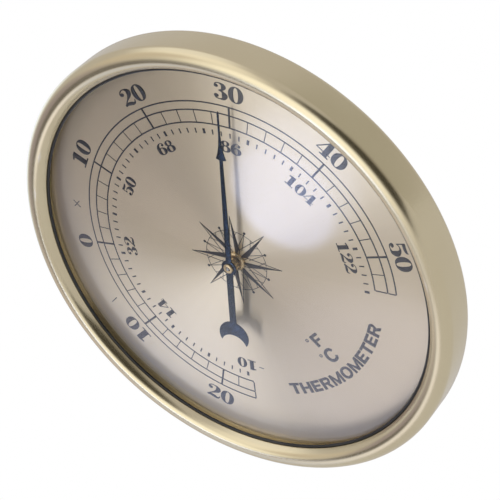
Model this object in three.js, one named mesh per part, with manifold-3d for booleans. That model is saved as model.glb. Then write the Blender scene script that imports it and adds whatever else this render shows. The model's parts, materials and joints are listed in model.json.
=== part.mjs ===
// Round panel thermometer: a bimetal coil turns a pointer over a printed dial.
// Millimetres. The dial faces -Y, +Z points to the top of the dial, +X to its right.
// Heights along the dial axis are called "front": front = -y, zero at the panel the bezel rests on.
import * as THREE from 'three';
import { mergeVertices } from 'three/addons/utils/BufferGeometryUtils.js';
import Module from 'manifold-3d';

const wasm = await Module();
wasm.setup();

// Driving dimensions
const BEZEL_RADIUS = 36;
const DIAL_FRONT = 2.5;          // printed face of the dial plate
const LIP_CREST = 6.66;          // foremost ring of the bezel's lip
const LIP_INNER_RADIUS = 32.5;   // edge of the glass opening
const BEZEL_BORE = 34.55;        // bore that holds the glass, dial and can
const DOME_RADIUS = 220;         // sphere of the domed glass
const GLASS_CREST = 7.25;        // front of the glass at its centre
const GLASS_THICKNESS = 0.8;
const GLASS_RADIUS = 34.2;
const DIAL_BACK = DIAL_FRONT - 0.5;
const POINTER_FRONT = DIAL_FRONT + 2.15;
const POINTER_THICKNESS = 0.25;
const POINTER_BACK = POINTER_FRONT - POINTER_THICKNESS;
const SCALE_RADIUS = 26.22;      // outermost ring of the scale; the pointer's sizes follow it
const CAN_RADIUS = 30;
const CAN_BACK = -5.3;
const REST_ANGLE = 50.35;        // degrees clockwise from the top, the pointer's rest reading
const ARBOR_RADIUS = 0.3;

// Clearances between neighbours: a free fit and a face-to-face joint
const SLIP = 0.05;
const JOINT = 0.02;

const RING_SEGMENTS = 64;
const PIN_SEGMENTS = 20;

const FINISHES = {
  gold: { color: 0xb3a47c, metalness: 0.9, roughness: 0.35 },
  glass: { color: 0xdfe9ee, metalness: 0, roughness: 0.05, transparent: true, opacity: 0.3 },
  rubber: { color: 0x1d1d1f, metalness: 0, roughness: 0.8 },
  dial: { color: 0xb9aa9c, metalness: 0.8, roughness: 0.4 },
  brass: { color: 0xc2a25a, metalness: 0.9, roughness: 0.3 },
  blued: { color: 0x27365c, metalness: 0.8, roughness: 0.35 },
  steel: { color: 0xa7a9ac, metalness: 0.9, roughness: 0.3 },
  bimetal: { color: 0x9b8f7e, metalness: 0.9, roughness: 0.35 },
  can: { color: 0x2a2b2d, metalness: 0.3, roughness: 0.55 },
};

const model = new THREE.Group();
model.name = 'dial_thermometer';

function addPart(name, finish, geometry, parent = model) {
  const mesh = new THREE.Mesh(geometry, new THREE.MeshStandardMaterial(FINISHES[finish]));
  mesh.name = name;
  parent.add(mesh);
  return mesh;
}

// A solid turned about the dial axis. Its outline is a loop of [radius, front] points that runs
// outwards along the back and inwards along the front. A loop that starts on the axis ends there.
function turned(outline, segments = RING_SEGMENTS) {
  const points = outline.map(([radius, front]) => new THREE.Vector2(radius, -front));
  if (outline[0][0] > 0) points.push(points[0].clone());
  return new THREE.LatheGeometry(points.reverse(), segments);
}

// A flat plate parallel to the dial between two heights, from a shape seen from the front.
function plate(shape, back, front, curveSegments = 12) {
  const settings = { depth: front - back, bevelEnabled: false, curveSegments };
  const geometry = new THREE.ExtrudeGeometry(shape, settings);
  geometry.rotateX(Math.PI / 2);
  geometry.translate(0, -back, 0);
  return geometry;
}

function circlePath(x, z, radius) {
  const path = new THREE.Path();
  path.absarc(x, z, radius, 0, 2 * Math.PI, true);
  return path;
}

function toSolid(geometry) {
  const bare = geometry.clone();
  bare.deleteAttribute('normal');
  bare.deleteAttribute('uv');
  const merged = mergeVertices(bare, 1e-4);
  return new wasm.Manifold(new wasm.Mesh({
    numProp: 3,
    vertProperties: new Float32Array(merged.attributes.position.array),
    triVerts: new Uint32Array(merged.index.array),
  }));
}

function toGeometry(solid) {
  const mesh = solid.getMesh();
  const geometry = new THREE.BufferGeometry();
  geometry.setAttribute('position', new THREE.BufferAttribute(mesh.vertProperties, 3));
  geometry.setIndex(new THREE.BufferAttribute(mesh.triVerts, 1));
  geometry.computeVertexNormals();
  return geometry;
}

function cut(geometry, cutters) {
  let solid = toSolid(geometry);
  for (const cutter of cutters) solid = solid.subtract(toSolid(cutter));
  return toGeometry(solid);
}

// Points on an arc of [radius, front], angles in degrees from the radial direction.
function arc(centreRadius, centreFront, radius, from, to, steps) {
  const points = [];
  for (let i = 0; i <= steps; i += 1) {
    const angle = THREE.MathUtils.degToRad(from + (to - from) * i / steps);
    points.push([centreRadius + radius * Math.cos(angle), centreFront + radius * Math.sin(angle)]);
  }
  return points;
}

const domeFront = (radius) => GLASS_CREST - radius * radius / (2 * DOME_RADIUS);

// Bezel: side wall, rounded lip and the bore behind it
function bezel() {
  const fillet = 1.7;
  const rearFillet = 0.4;
  const lipUnderside = 5.15;
  const slopeDepth = 1.24;
  const slopeWidth = BEZEL_RADIUS - fillet - LIP_INNER_RADIUS;
  const slopeSteps = 4;
  const slope = [];
  for (let i = 1; i <= slopeSteps; i += 1) {
    const t = i / slopeSteps;
    slope.push([BEZEL_RADIUS - fillet - slopeWidth * t, LIP_CREST - slopeDepth * t ** 2.2]);
  }
  return turned([
    [BEZEL_BORE, 0],
    ...arc(BEZEL_RADIUS - rearFillet, rearFillet, rearFillet, -90, 0, 2),
    ...arc(BEZEL_RADIUS - fillet, LIP_CREST - fillet, fillet, 0, 90, 6),
    ...slope,
    [LIP_INNER_RADIUS, lipUnderside],
    [BEZEL_BORE, lipUnderside],
  ]);
}

// Glass: a thin spherical dome with a plain rim
function glass() {
  const steps = 4;
  const outside = [];
  const inside = [];
  for (let i = 0; i <= steps; i += 1) {
    const radius = GLASS_RADIUS * i / steps;
    inside.push([radius, domeFront(radius) - GLASS_THICKNESS]);
    outside.push([radius, domeFront(radius)]);
  }
  return turned([...inside, ...outside.reverse()]);
}

// Gasket: a flat ring under the lip with a bead that shows inside the opening
function glassGasket() {
  const beadWidth = 0.4;
  const inner = LIP_INNER_RADIUS - beadWidth;
  const outer = BEZEL_BORE - 3 * SLIP;
  const top = 5.1;
  const beadTop = 5.28;
  const shoulder = 0.1;
  return turned([
    [inner, domeFront(inner) + SLIP],
    [outer, domeFront(outer) + SLIP],
    [outer, top],
    [LIP_INNER_RADIUS - SLIP, top],
    [LIP_INNER_RADIUS - SLIP, beadTop - shoulder],
    [inner + shoulder, beadTop],
    [inner, beadTop - shoulder],
  ]);
}

// Spacer: keeps the glass off the dial and forms the wall seen around it
function spacerRing() {
  const inner = 33.3;
  const outer = BEZEL_BORE - 3 * SLIP;
  const foot = DIAL_FRONT + JOINT;
  const seat = (radius) => domeFront(radius) - GLASS_THICKNESS - SLIP;
  return turned([
    [inner, foot],
    [outer, foot],
    [outer, seat(outer)],
    [inner, seat(inner)],
  ]);
}

const BUSH_RADIUS = 1.2;

function dialPlate() {
  const rim = BEZEL_BORE - 4 * SLIP;
  const bushHole = BUSH_RADIUS + SLIP;
  return turned([
    [bushHole, DIAL_BACK],
    [rim, DIAL_BACK],
    [rim, DIAL_FRONT],
    [bushHole, DIAL_FRONT],
  ]);
}

// Bush: flanged bearing pressed into the dial, its flange in front
function dialBush() {
  const bore = ARBOR_RADIUS + SLIP;
  const chamfer = 0.2;
  const flange = BUSH_RADIUS + 0.3;
  const back = DIAL_BACK - 0.9;
  const underFlange = DIAL_FRONT + JOINT;
  const front = DIAL_FRONT + 0.6;
  return turned([
    [bore, back],
    [BUSH_RADIUS, back],
    [BUSH_RADIUS, underFlange],
    [flange, underFlange],
    [flange, front - chamfer],
    [flange - chamfer, front],
    [bore, front],
  ], PIN_SEGMENTS);
}

// Hand: tapered arm with a flared arrow, a long thin tip and a crescent tail.
// Drawn pointing up and turned to the rest reading with its group.
function pointer() {
  const unit = SCALE_RADIUS;
  const tip = 1.0145 * unit;
  const tipHalfWidth = 0.0045 * unit;
  const arrowNose = 0.875 * unit;
  const arrowBase = 0.7177 * unit;
  const arrowHalfWidth = 0.0305 * unit;
  const barbDrop = 0.004 * unit;
  const armEndHalfWidth = 0.009 * unit;
  const armRootHalfWidth = 0.018 * unit;
  const hub = 0.0475 * unit;
  const tailHalfWidth = 0.0205 * unit;
  const crescentCentre = -0.487 * unit;
  const crescentRadius = 0.096 * unit;
  const biteCentre = -0.57 * unit;
  const biteRadius = 0.0875 * unit;

  const between = biteCentre - crescentCentre;
  const hornFromCentre = (between ** 2 + crescentRadius ** 2 - biteRadius ** 2) / (2 * between);
  const hornHalfSpan = Math.sqrt(crescentRadius ** 2 - hornFromCentre ** 2);
  const hornAngle = Math.atan2(hornFromCentre, hornHalfSpan);
  const biteAngle = Math.atan2(crescentCentre + hornFromCentre - biteCentre, hornHalfSpan);
  const neckAngle = Math.acos(tailHalfWidth / crescentRadius);
  const hubArmAngle = Math.acos(armRootHalfWidth / hub);
  const hubTailAngle = Math.asin(Math.sqrt(hub ** 2 - tailHalfWidth ** 2) / hub);

  const shape = new THREE.Shape();
  shape.moveTo(tipHalfWidth, tip - tipHalfWidth);
  shape.lineTo(0, tip);
  shape.lineTo(-tipHalfWidth, tip - tipHalfWidth);
  shape.lineTo(-tipHalfWidth, arrowNose);
  shape.quadraticCurveTo(-2.2 * tipHalfWidth, arrowBase + 0.42 * (arrowNose - arrowBase),
    -arrowHalfWidth, arrowBase);
  shape.lineTo(-armEndHalfWidth, arrowBase - barbDrop);
  shape.absarc(0, 0, hub, Math.PI - hubArmAngle, Math.PI + hubTailAngle, false);
  shape.absarc(0, crescentCentre, crescentRadius, Math.PI - neckAngle, Math.PI - hornAngle, false);
  shape.absarc(0, biteCentre, biteRadius, Math.PI - biteAngle, biteAngle, true);
  shape.absarc(0, crescentCentre, crescentRadius, hornAngle, neckAngle, false);
  shape.absarc(0, 0, hub, -hubTailAngle, hubArmAngle, false);
  shape.lineTo(armEndHalfWidth, arrowBase - barbDrop);
  shape.lineTo(arrowHalfWidth, arrowBase);
  shape.quadraticCurveTo(2.2 * tipHalfWidth, arrowBase + 0.42 * (arrowNose - arrowBase),
    tipHalfWidth, arrowNose);
  shape.holes.push(circlePath(0, 0, ARBOR_RADIUS + SLIP));
  return plate(shape, POINTER_BACK, POINTER_FRONT, 10);
}

// Pipe: the brass tube that lifts the hand clear of the dial
function pointerPipe() {
  const bore = ARBOR_RADIUS + SLIP;
  const radius = 0.0425 * SCALE_RADIUS;
  const chamfer = 0.12;
  const foot = DIAL_FRONT + 0.9;
  const head = POINTER_BACK - JOINT;
  return turned([
    [bore, foot],
    [radius - chamfer, foot],
    [radius, foot + chamfer],
    [radius, head],
    [bore, head],
  ], PIN_SEGMENTS);
}

// Cap: the riveted head in front of the hand
function pointerCap() {
  const bore = ARBOR_RADIUS + SLIP;
  const radius = 0.0295 * SCALE_RADIUS;
  const chamfer = 0.12;
  const back = POINTER_FRONT + JOINT;
  const front = POINTER_FRONT + 0.34;
  return turned([
    [bore, back],
    [radius, back],
    [radius, front - chamfer],
    [radius - chamfer, front],
    [bore, front],
  ], PIN_SEGMENTS);
}

// Heights behind the dial, seen from the front
const COIL_FRONT = 0.6;
const COIL_BACK = -1.4;
const COLLET_FRONT = 0.9;
const COLLET_BACK = -1.9;
const LEVER_FRONT = -2.2;
const LEVER_BACK = -2.6;
const BRIDGE_FRONT = -3.1;
const BRIDGE_BACK = -3.7;
const PIVOT_BACK = -3.9;
const STUD_DISTANCE = 10.6;
const HUB_RADIUS = 1.4;
const SCREW_RADIUS = 0.75;

function arbor() {
  const chamfer = 0.08;
  const front = POINTER_FRONT + 0.45;
  return turned([
    [0, PIVOT_BACK],
    [ARBOR_RADIUS, PIVOT_BACK],
    [ARBOR_RADIUS, front - chamfer],
    [ARBOR_RADIUS - chamfer, front],
    [0, front],
  ], PIN_SEGMENTS);
}

// Collet: grips the arbor; the coil's inner end is clamped under its shoulder
function coilCollet() {
  const bore = ARBOR_RADIUS + SLIP;
  const barrel = 1.3;
  const shoulder = 1.9;
  const shoulderFront = COIL_BACK - 2 * SLIP;
  return turned([
    [bore, COLLET_BACK],
    [shoulder, COLLET_BACK],
    [shoulder, shoulderFront],
    [barrel, shoulderFront],
    [barrel, COLLET_FRONT],
    [bore, COLLET_FRONT],
  ], PIN_SEGMENTS);
}

// Coil: flat spiral strip whose ends lie at the collet and at the stud, both straight above the axis
function bimetalCoil() {
  const innerRadius = 1.62;
  const outerRadius = STUD_DISTANCE - 0.95;
  const turns = 5;
  const thickness = 0.4;
  const stepsPerTurn = 24;
  const steps = turns * stepsPerTurn;
  const side = (offset) => {
    const points = [];
    for (let i = 0; i <= steps; i += 1) {
      const turn = 2 * Math.PI * i / stepsPerTurn;
      const radius = innerRadius + (outerRadius - innerRadius) * i / steps + offset;
      points.push(new THREE.Vector2(radius * Math.sin(turn), radius * Math.cos(turn)));
    }
    return points;
  };
  const shape = new THREE.Shape([...side(-thickness / 2), ...side(thickness / 2).reverse()]);
  return plate(shape, COIL_BACK, COIL_FRONT);
}

// Stud: stands on the lever just outside the coil's last turn
function coilStud() {
  const stem = 0.65;
  const chamfer = 0.15;
  const back = LEVER_FRONT + JOINT;
  const front = COIL_FRONT + 0.35;
  const geometry = turned([
    [0, back],
    [stem, back],
    [stem, front - chamfer],
    [stem - chamfer, front],
    [0, front],
  ], PIN_SEGMENTS);
  geometry.translate(0, 0, STUD_DISTANCE);
  return geometry;
}

// Lever: round boss on the hub with an arm up to the stud
function regulatorLever() {
  const boss = 3.2;
  const armHalfWidth = 1.1;
  const join = Math.acos(armHalfWidth / boss);
  const shape = new THREE.Shape();
  shape.absarc(0, 0, boss, Math.PI - join, join + 2 * Math.PI, false);
  shape.absarc(0, STUD_DISTANCE, armHalfWidth, 0, Math.PI, false);
  shape.holes.push(circlePath(0, 0, HUB_RADIUS + SLIP));
  return plate(shape, LEVER_BACK, LEVER_FRONT);
}

// Hub: turns in the bridge, carries the lever and bears the rear pivot; slotted for a screwdriver
function regulatorHub() {
  const pivotHole = ARBOR_RADIUS + SLIP;
  const head = 2.2;
  const headBack = BRIDGE_BACK - 0.65;
  const underHead = BRIDGE_BACK - 2 * JOINT;
  const front = LEVER_FRONT + 0.15;
  const pivotEnd = PIVOT_BACK - 2 * SLIP;
  const body = turned([
    [0, headBack],
    [head, headBack],
    [head, underHead],
    [HUB_RADIUS, underHead],
    [HUB_RADIUS, front],
    [pivotHole, front],
    [pivotHole, pivotEnd],
    [0, pivotEnd],
  ], PIN_SEGMENTS);
  return cut(body, [driverSlot(head, headBack, 0.25, 0.6)]);
}

// A straight slot across a round head, for a screwdriver
function driverSlot(headRadius, headBack, depth, width) {
  const slot = new THREE.BoxGeometry(2 * headRadius + 1, 2 * depth, width);
  slot.translate(0, -headBack, 0);
  return slot;
}

// Washer: thin spring washer between the lever and the bridge
function frictionWasher() {
  const inner = HUB_RADIUS + 2 * SLIP;
  const outer = 2.9;
  const back = BRIDGE_FRONT + 2 * JOINT;
  const front = LEVER_BACK - 3 * JOINT;
  return turned([
    [inner, back],
    [outer, back],
    [outer - 0.4, front],
    [inner, front],
  ], PIN_SEGMENTS);
}

const PILLAR_X = 13;

function bridge() {
  const halfWidth = 3.2;
  const shape = new THREE.Shape();
  shape.absarc(-PILLAR_X, 0, halfWidth, Math.PI / 2, 3 * Math.PI / 2, false);
  shape.absarc(PILLAR_X, 0, halfWidth, -Math.PI / 2, Math.PI / 2, false);
  shape.holes.push(circlePath(0, 0, HUB_RADIUS + 2 * SLIP));
  for (const x of [-PILLAR_X, PILLAR_X]) shape.holes.push(circlePath(x, 0, SCREW_RADIUS + SLIP));
  return plate(shape, BRIDGE_BACK, BRIDGE_FRONT);
}

// Pillar: riveted to the back of the dial, tapped for the bridge screw
function bridgePillar(side) {
  const radius = 1.6;
  const foot = radius + 0.5;
  const footHeight = 0.5;
  const tapEnd = BRIDGE_FRONT + 3.2;
  const bore = SCREW_RADIUS + SLIP;
  const back = BRIDGE_FRONT + JOINT;
  const front = DIAL_BACK - JOINT;
  const geometry = turned([
    [0, tapEnd],
    [bore, tapEnd],
    [bore, back],
    [radius, back],
    [radius, front - footHeight - 0.3],
    [foot, front - footHeight],
    [foot, front],
    [0, front],
  ], PIN_SEGMENTS);
  geometry.translate(side * PILLAR_X, 0, 0);
  return geometry;
}

// Screw: slotted cheese head behind the bridge
function bridgeScrew(side) {
  const head = 1.45;
  const chamfer = 0.15;
  const headBack = BRIDGE_BACK - 0.8;
  const underHead = BRIDGE_BACK - JOINT;
  const end = BRIDGE_FRONT + 2.6;
  const body = turned([
    [0, headBack],
    [head - chamfer, headBack],
    [head, headBack + chamfer],
    [head, underHead],
    [SCREW_RADIUS, underHead],
    [SCREW_RADIUS, end - chamfer],
    [SCREW_RADIUS - chamfer, end],
    [0, end],
  ], PIN_SEGMENTS);
  const geometry = cut(body, [driverSlot(head, headBack, 0.3, 0.45)]);
  geometry.translate(side * PILLAR_X, 0, 0);
  return geometry;
}

// Can: shallow cup with a flange behind the dial, a ring of air vents and an adjusting hole
function rearCan() {
  const wall = 0.7;
  const flangeRadius = BEZEL_BORE - 4 * SLIP;
  const flangeFront = DIAL_BACK - SLIP;
  const flangeBack = flangeFront - 0.6;
  const corner = 1.4;
  const inside = corner - wall;
  const cup = turned([
    [0, CAN_BACK],
    ...arc(CAN_RADIUS - corner, CAN_BACK + corner, corner, -90, 0, 2),
    [CAN_RADIUS, flangeBack],
    [flangeRadius, flangeBack],
    [flangeRadius, flangeFront],
    [CAN_RADIUS - wall, flangeFront],
    ...arc(CAN_RADIUS - corner, CAN_BACK + corner, inside, 0, -90, 2),
    [0, CAN_BACK + wall],
  ]);
  const cutBack = CAN_BACK - 1;
  const cutFront = CAN_BACK + 2;
  const adjustingHole = 1.8;
  const cutters = [plate(circleShape(adjustingHole), cutBack, cutFront)];
  const vents = 8;
  for (let i = 0; i < vents; i += 1) {
    const vent = plate(ventShape(), cutBack, cutFront, 4);
    vent.rotateY(2 * Math.PI * (i + 0.5) / vents);
    cutters.push(vent);
  }
  return cut(cup, cutters);
}

function circleShape(radius) {
  const shape = new THREE.Shape();
  shape.absarc(0, 0, radius, 0, 2 * Math.PI, false);
  return shape;
}

// Vent: a radial slot with round ends
function ventShape() {
  const halfWidth = 1.1;
  const near = 11;
  const far = 20;
  const shape = new THREE.Shape();
  shape.absarc(0, far, halfWidth, 0, Math.PI, false);
  shape.absarc(0, near, halfWidth, Math.PI, 2 * Math.PI, false);
  return shape;
}

// Retaining ring: threads into the bezel's bore; its notches take a pin spanner
function retainingRing() {
  const inner = CAN_RADIUS + 0.3;
  const outer = BEZEL_BORE - 2 * SLIP;
  const thickness = 1.25;
  const notches = 4;
  const notchHalfAngle = 0.05;
  const notchDepth = 1.2;
  const hole = new THREE.Path();
  for (let i = notches - 1; i >= 0; i -= 1) {
    const centre = Math.PI / 4 + 2 * Math.PI * i / notches;
    const next = centre - 2 * Math.PI / notches;
    hole.absarc(0, 0, inner + notchDepth, centre + notchHalfAngle, centre - notchHalfAngle, true);
    hole.absarc(0, 0, inner, centre - notchHalfAngle, next + notchHalfAngle, true);
  }
  const shape = circleShape(outer);
  shape.holes.push(hole);
  return plate(shape, 0, thickness, 14);
}

// Friction ring: three-ribbed rubber band around the can
function frictionRing() {
  const inner = CAN_RADIUS + 2 * SLIP;
  const root = CAN_RADIUS + 0.45;
  const crest = CAN_RADIUS + 0.95;
  const ribs = 3;
  const ribPitch = 0.9;
  const back = -3.9;
  const outline = [[inner, back]];
  for (let i = 0; i < ribs; i += 1) {
    const start = back + i * ribPitch;
    outline.push([root, start], [crest, start + 0.3 * ribPitch], [crest, start + 0.5 * ribPitch]);
  }
  const front = back + ribs * ribPitch;
  outline.push([root, front], [inner, front]);
  return turned(outline, 48);
}

// Assembly
addPart('bezel', 'gold', bezel());
addPart('glass', 'glass', glass());
addPart('glass_gasket', 'rubber', glassGasket());
addPart('spacer_ring', 'gold', spacerRing());
addPart('dial_plate', 'dial', dialPlate());
addPart('dial_bush', 'brass', dialBush());
addPart('bridge', 'brass', bridge());
for (const [name, side] of [['left', -1], ['right', 1]]) {
  addPart(`bridge_pillar_${name}`, 'brass', bridgePillar(side));
  addPart(`bridge_screw_${name}`, 'steel', bridgeScrew(side));
}
addPart('rear_can', 'can', rearCan());
addPart('retaining_ring', 'steel', retainingRing());
addPart('friction_ring', 'rubber', frictionRing());

addPart('regulator_hub', 'brass', regulatorHub());
addPart('regulator_lever', 'steel', regulatorLever());
addPart('friction_washer', 'steel', frictionWasher());
addPart('coil_stud', 'brass', coilStud());
addPart('bimetal_coil', 'bimetal', bimetalCoil());

const spindle = new THREE.Group();
spindle.rotation.y = THREE.MathUtils.degToRad(REST_ANGLE);
model.add(spindle);
addPart('pointer', 'blued', pointer(), spindle);
addPart('pointer_pipe', 'brass', pointerPipe(), spindle);
addPart('pointer_cap', 'brass', pointerCap(), spindle);
addPart('arbor', 'steel', arbor(), spindle);
addPart('coil_collet', 'brass', coilCollet(), spindle);

export default model;
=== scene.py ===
import json
import math

import bmesh
import bpy
from mathutils import Matrix, Vector


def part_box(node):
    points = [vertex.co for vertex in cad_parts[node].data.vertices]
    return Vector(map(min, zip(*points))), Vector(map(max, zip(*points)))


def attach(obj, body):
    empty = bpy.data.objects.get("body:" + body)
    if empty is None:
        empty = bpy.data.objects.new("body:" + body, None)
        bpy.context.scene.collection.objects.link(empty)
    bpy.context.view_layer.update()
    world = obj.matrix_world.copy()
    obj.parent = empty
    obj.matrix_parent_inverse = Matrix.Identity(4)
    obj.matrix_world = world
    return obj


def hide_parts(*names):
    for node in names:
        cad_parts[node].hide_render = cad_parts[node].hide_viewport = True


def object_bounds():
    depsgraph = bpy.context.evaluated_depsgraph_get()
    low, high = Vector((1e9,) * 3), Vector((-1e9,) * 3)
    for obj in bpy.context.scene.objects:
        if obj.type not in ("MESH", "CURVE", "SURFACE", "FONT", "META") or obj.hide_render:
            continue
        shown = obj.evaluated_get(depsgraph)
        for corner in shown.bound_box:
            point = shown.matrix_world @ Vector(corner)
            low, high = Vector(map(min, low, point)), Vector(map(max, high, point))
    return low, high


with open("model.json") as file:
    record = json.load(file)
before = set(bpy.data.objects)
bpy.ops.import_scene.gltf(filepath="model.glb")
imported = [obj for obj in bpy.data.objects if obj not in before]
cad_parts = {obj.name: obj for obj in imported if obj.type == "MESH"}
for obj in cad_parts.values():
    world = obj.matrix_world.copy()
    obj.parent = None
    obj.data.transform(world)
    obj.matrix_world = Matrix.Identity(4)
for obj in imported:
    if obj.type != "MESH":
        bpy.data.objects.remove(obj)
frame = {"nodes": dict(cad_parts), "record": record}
cad_low, cad_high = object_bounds()

# Lengths below are in millimetres unless a name says otherwise; MM turns them into metres.
# A place on the thermometer is (radius, front): front is the height along the dial axis, front = -y.
MM = 0.001
RING_STEPS = 256
PIN_STEPS = 48

record = frame["record"]
BODY_OF = {node: body for body, nodes in record["behaviour"]["bodies"].items() for node in nodes}
SLOT_OF = {part["node"]: part["material_slot"] for part in record["subparts"]}


def front_of(node):
    return -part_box(node)[0].y / MM


def back_of(node):
    return -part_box(node)[1].y / MM


def ends_of(node):
    """How far back and how far forward a node reaches along the dial axis."""
    return back_of(node), front_of(node)


def radius_of(node):
    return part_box(node)[1].x / MM


def farthest_point(node):
    """(distance from the dial axis, clockwise angle from the top) of a node's outermost vertex."""
    point = max((v.co for v in frame["nodes"][node].data.vertices), key=lambda p: p.x ** 2 + p.z ** 2)
    return math.hypot(point.x, point.z) / MM, math.atan2(point.x, point.z)


BEZEL_RADIUS = radius_of("bezel")
LIP_CREST = front_of("bezel")
LIP_INNER = 32.5
BORE = radius_of("retaining_ring") + 0.1
DIAL_FRONT = front_of("dial_plate")
DIAL_BACK = back_of("dial_plate")
HAND_REACH, HAND_ANGLE = farthest_point("pointer")
UNIT = HAND_REACH / 1.0145  # radius of the scale's outermost ring
DOME_RADIUS = 220.0
GLASS_CREST = front_of("glass")
GLASS_THICKNESS = 0.8
CAN_RADIUS = 30.0
ARBOR_RADIUS = 0.3
ARBOR_BORE = 0.35           # hole that fits round the arbor
STUD_DISTANCE = 10.6
PILLAR_X = 13.0
SLIP = 0.05                 # free fit between neighbours
JOINT = 0.02                # gap between faces that rest on each other
SHARP_DEGREES = 35          # edges that turn more stay sharp
CARVED_SHARP_DEGREES = 30
MERGE_M = 1e-7              # closer vertices become one


# ---- outlines

def arc(centre, radius, start, end, steps):
    """Points of an arc; angles in degrees, from the first axis towards the second."""
    points = []
    for i in range(steps + 1):
        angle = math.radians(start + (end - start) * i / steps)
        points.append((centre[0] + radius * math.cos(angle), centre[1] + radius * math.sin(angle)))
    return points


def bezier(p0, p1, p2, p3, steps):
    """Points of a cubic curve from p0 to p3, with handles p1 and p2."""
    points = []
    for i in range(steps + 1):
        t = i / steps
        weights = ((1 - t) ** 3, 3 * t * (1 - t) ** 2, 3 * t * t * (1 - t), t ** 3)
        corners = (p0, p1, p2, p3)
        points.append(tuple(sum(w * p[k] for w, p in zip(weights, corners)) for k in (0, 1)))
    return points


def soften(outline, radius, closed=True):
    """Rounds the corners of an outline; corners that are already part of a curve stay."""
    steps = 4
    curve_degrees = 150
    longest_share = 0.4              # of the shorter side
    count = len(outline)
    result = []
    for i, corner in enumerate(outline):
        here = Vector(corner)
        before = Vector(outline[i - 1]) - here
        after = Vector(outline[(i + 1) % count]) - here
        at_end = not closed and i in (0, count - 1)
        shortest = min(before.length, after.length)
        if at_end or shortest < 1e-6 or before.angle(after) > math.radians(curve_degrees):
            result.append(tuple(here))
            continue
        reach = min(radius, shortest * longest_share)
        start = here + before.normalized() * reach
        end = here + after.normalized() * reach
        for k in range(steps + 1):
            t = k / steps
            result.append(tuple(start * (1 - t) ** 2 + here * 2 * t * (1 - t) + end * t * t))
    return result


def box_loop(left, low, right, high):
    return [(left, low), (right, low), (right, high), (left, high)]


def dome_front(radius):
    """Height of the glass's outer face at a distance from the dial axis."""
    return GLASS_CREST - radius * radius / (2 * DOME_RADIUS)


# ---- meshes

def add_to_scene(name, data):
    made = bpy.data.objects.new(name, data)
    bpy.context.scene.collection.objects.link(made)
    return made


def final_mesh(piece):
    """A piece's mesh with its modifiers applied."""
    bpy.context.view_layer.update()
    evaluated = piece.evaluated_get(bpy.context.evaluated_depsgraph_get())
    return bpy.data.meshes.new_from_object(evaluated)


def new_object(name, mesh):
    mesh.shade_smooth()
    mesh.set_sharp_from_angle(angle=math.radians(SHARP_DEGREES))
    return add_to_scene(name, mesh)


def to_mesh(bm, name):
    mesh = bpy.data.meshes.new(name)
    bm.to_mesh(mesh)
    bm.free()
    return mesh


def finish_mesh(bm, name):
    bmesh.ops.remove_doubles(bm, verts=bm.verts, dist=MERGE_M)
    bmesh.ops.recalc_face_normals(bm, faces=bm.faces)
    return to_mesh(bm, name)


def turned(name, outline, steps=PIN_STEPS, centre=(0, 0)):
    """A closed solid turned about the dial axis, or about a line beside it at centre = (x, z)."""
    bm = bmesh.new()
    on_axis = outline[0][0] < 1e-6
    loops = []
    for i in range(steps):
        angle = 2 * math.pi * i / steps
        loop = []
        for radius, front in outline:
            x = centre[0] + radius * math.sin(angle)
            z = centre[1] + radius * math.cos(angle)
            loop.append(bm.verts.new((x * MM, -front * MM, z * MM)))
        loops.append(loop)
    count = len(outline)
    last = count - 1 if on_axis else count
    for i in range(steps):
        here, there = loops[i], loops[(i + 1) % steps]
        for k in range(last):
            bm.faces.new((here[k], here[(k + 1) % count], there[(k + 1) % count], there[k]))
    return new_object(name, finish_mesh(bm, name))


def flat_part(name, loops, back, front, edge=0.05):
    """A flat plate with rounded edges from closed loops of (x, z): the outline first, then holes."""
    curve = bpy.data.curves.new(name, "CURVE")
    curve.dimensions = "2D"
    curve.fill_mode = "BOTH"
    curve.extrude = ((front - back) / 2 - edge) * MM
    curve.bevel_depth = edge * MM
    curve.bevel_resolution = 2
    curve.offset = -edge * MM
    for loop in loops:
        spline = curve.splines.new("POLY")
        spline.points.add(len(loop) - 1)
        for point, (x, z) in zip(spline.points, loop):
            point.co = (x * MM, z * MM, 0, 1)
        spline.use_cyclic_u = True
    holder = add_to_scene(name, curve)
    mesh = final_mesh(holder)
    bpy.data.objects.remove(holder)
    bpy.data.curves.remove(curve)
    upright = Matrix.Rotation(math.pi / 2, 4, "X")
    mesh.transform(Matrix.Translation((0, -(front + back) / 2 * MM, 0)) @ upright)
    bm = bmesh.new()
    bm.from_mesh(mesh)
    return new_object(name, finish_mesh(bm, name))


def carve(piece, cutters):
    """Cuts the cutters out of a piece and removes them."""
    for cutter in cutters:
        modifier = piece.modifiers.new("cut", "BOOLEAN")
        modifier.operation = "DIFFERENCE"
        modifier.solver = "EXACT"
        modifier.object = cutter
        mesh = final_mesh(piece)
        piece.modifiers.clear()
        piece.data = mesh
        bpy.data.objects.remove(cutter)
    piece.data.shade_smooth()
    piece.data.set_sharp_from_angle(angle=math.radians(CARVED_SHARP_DEGREES))


def turn_in_plane(piece, angle):
    """Turns a piece clockwise about the dial axis, seen from the front."""
    piece.data.transform(Matrix.Rotation(angle, 4, "Y"))


def circle(x, z, radius, steps=PIN_STEPS):
    return arc((x, z), radius, 0, 360 - 360 / steps, steps - 1)


# ---- node helpers

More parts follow.
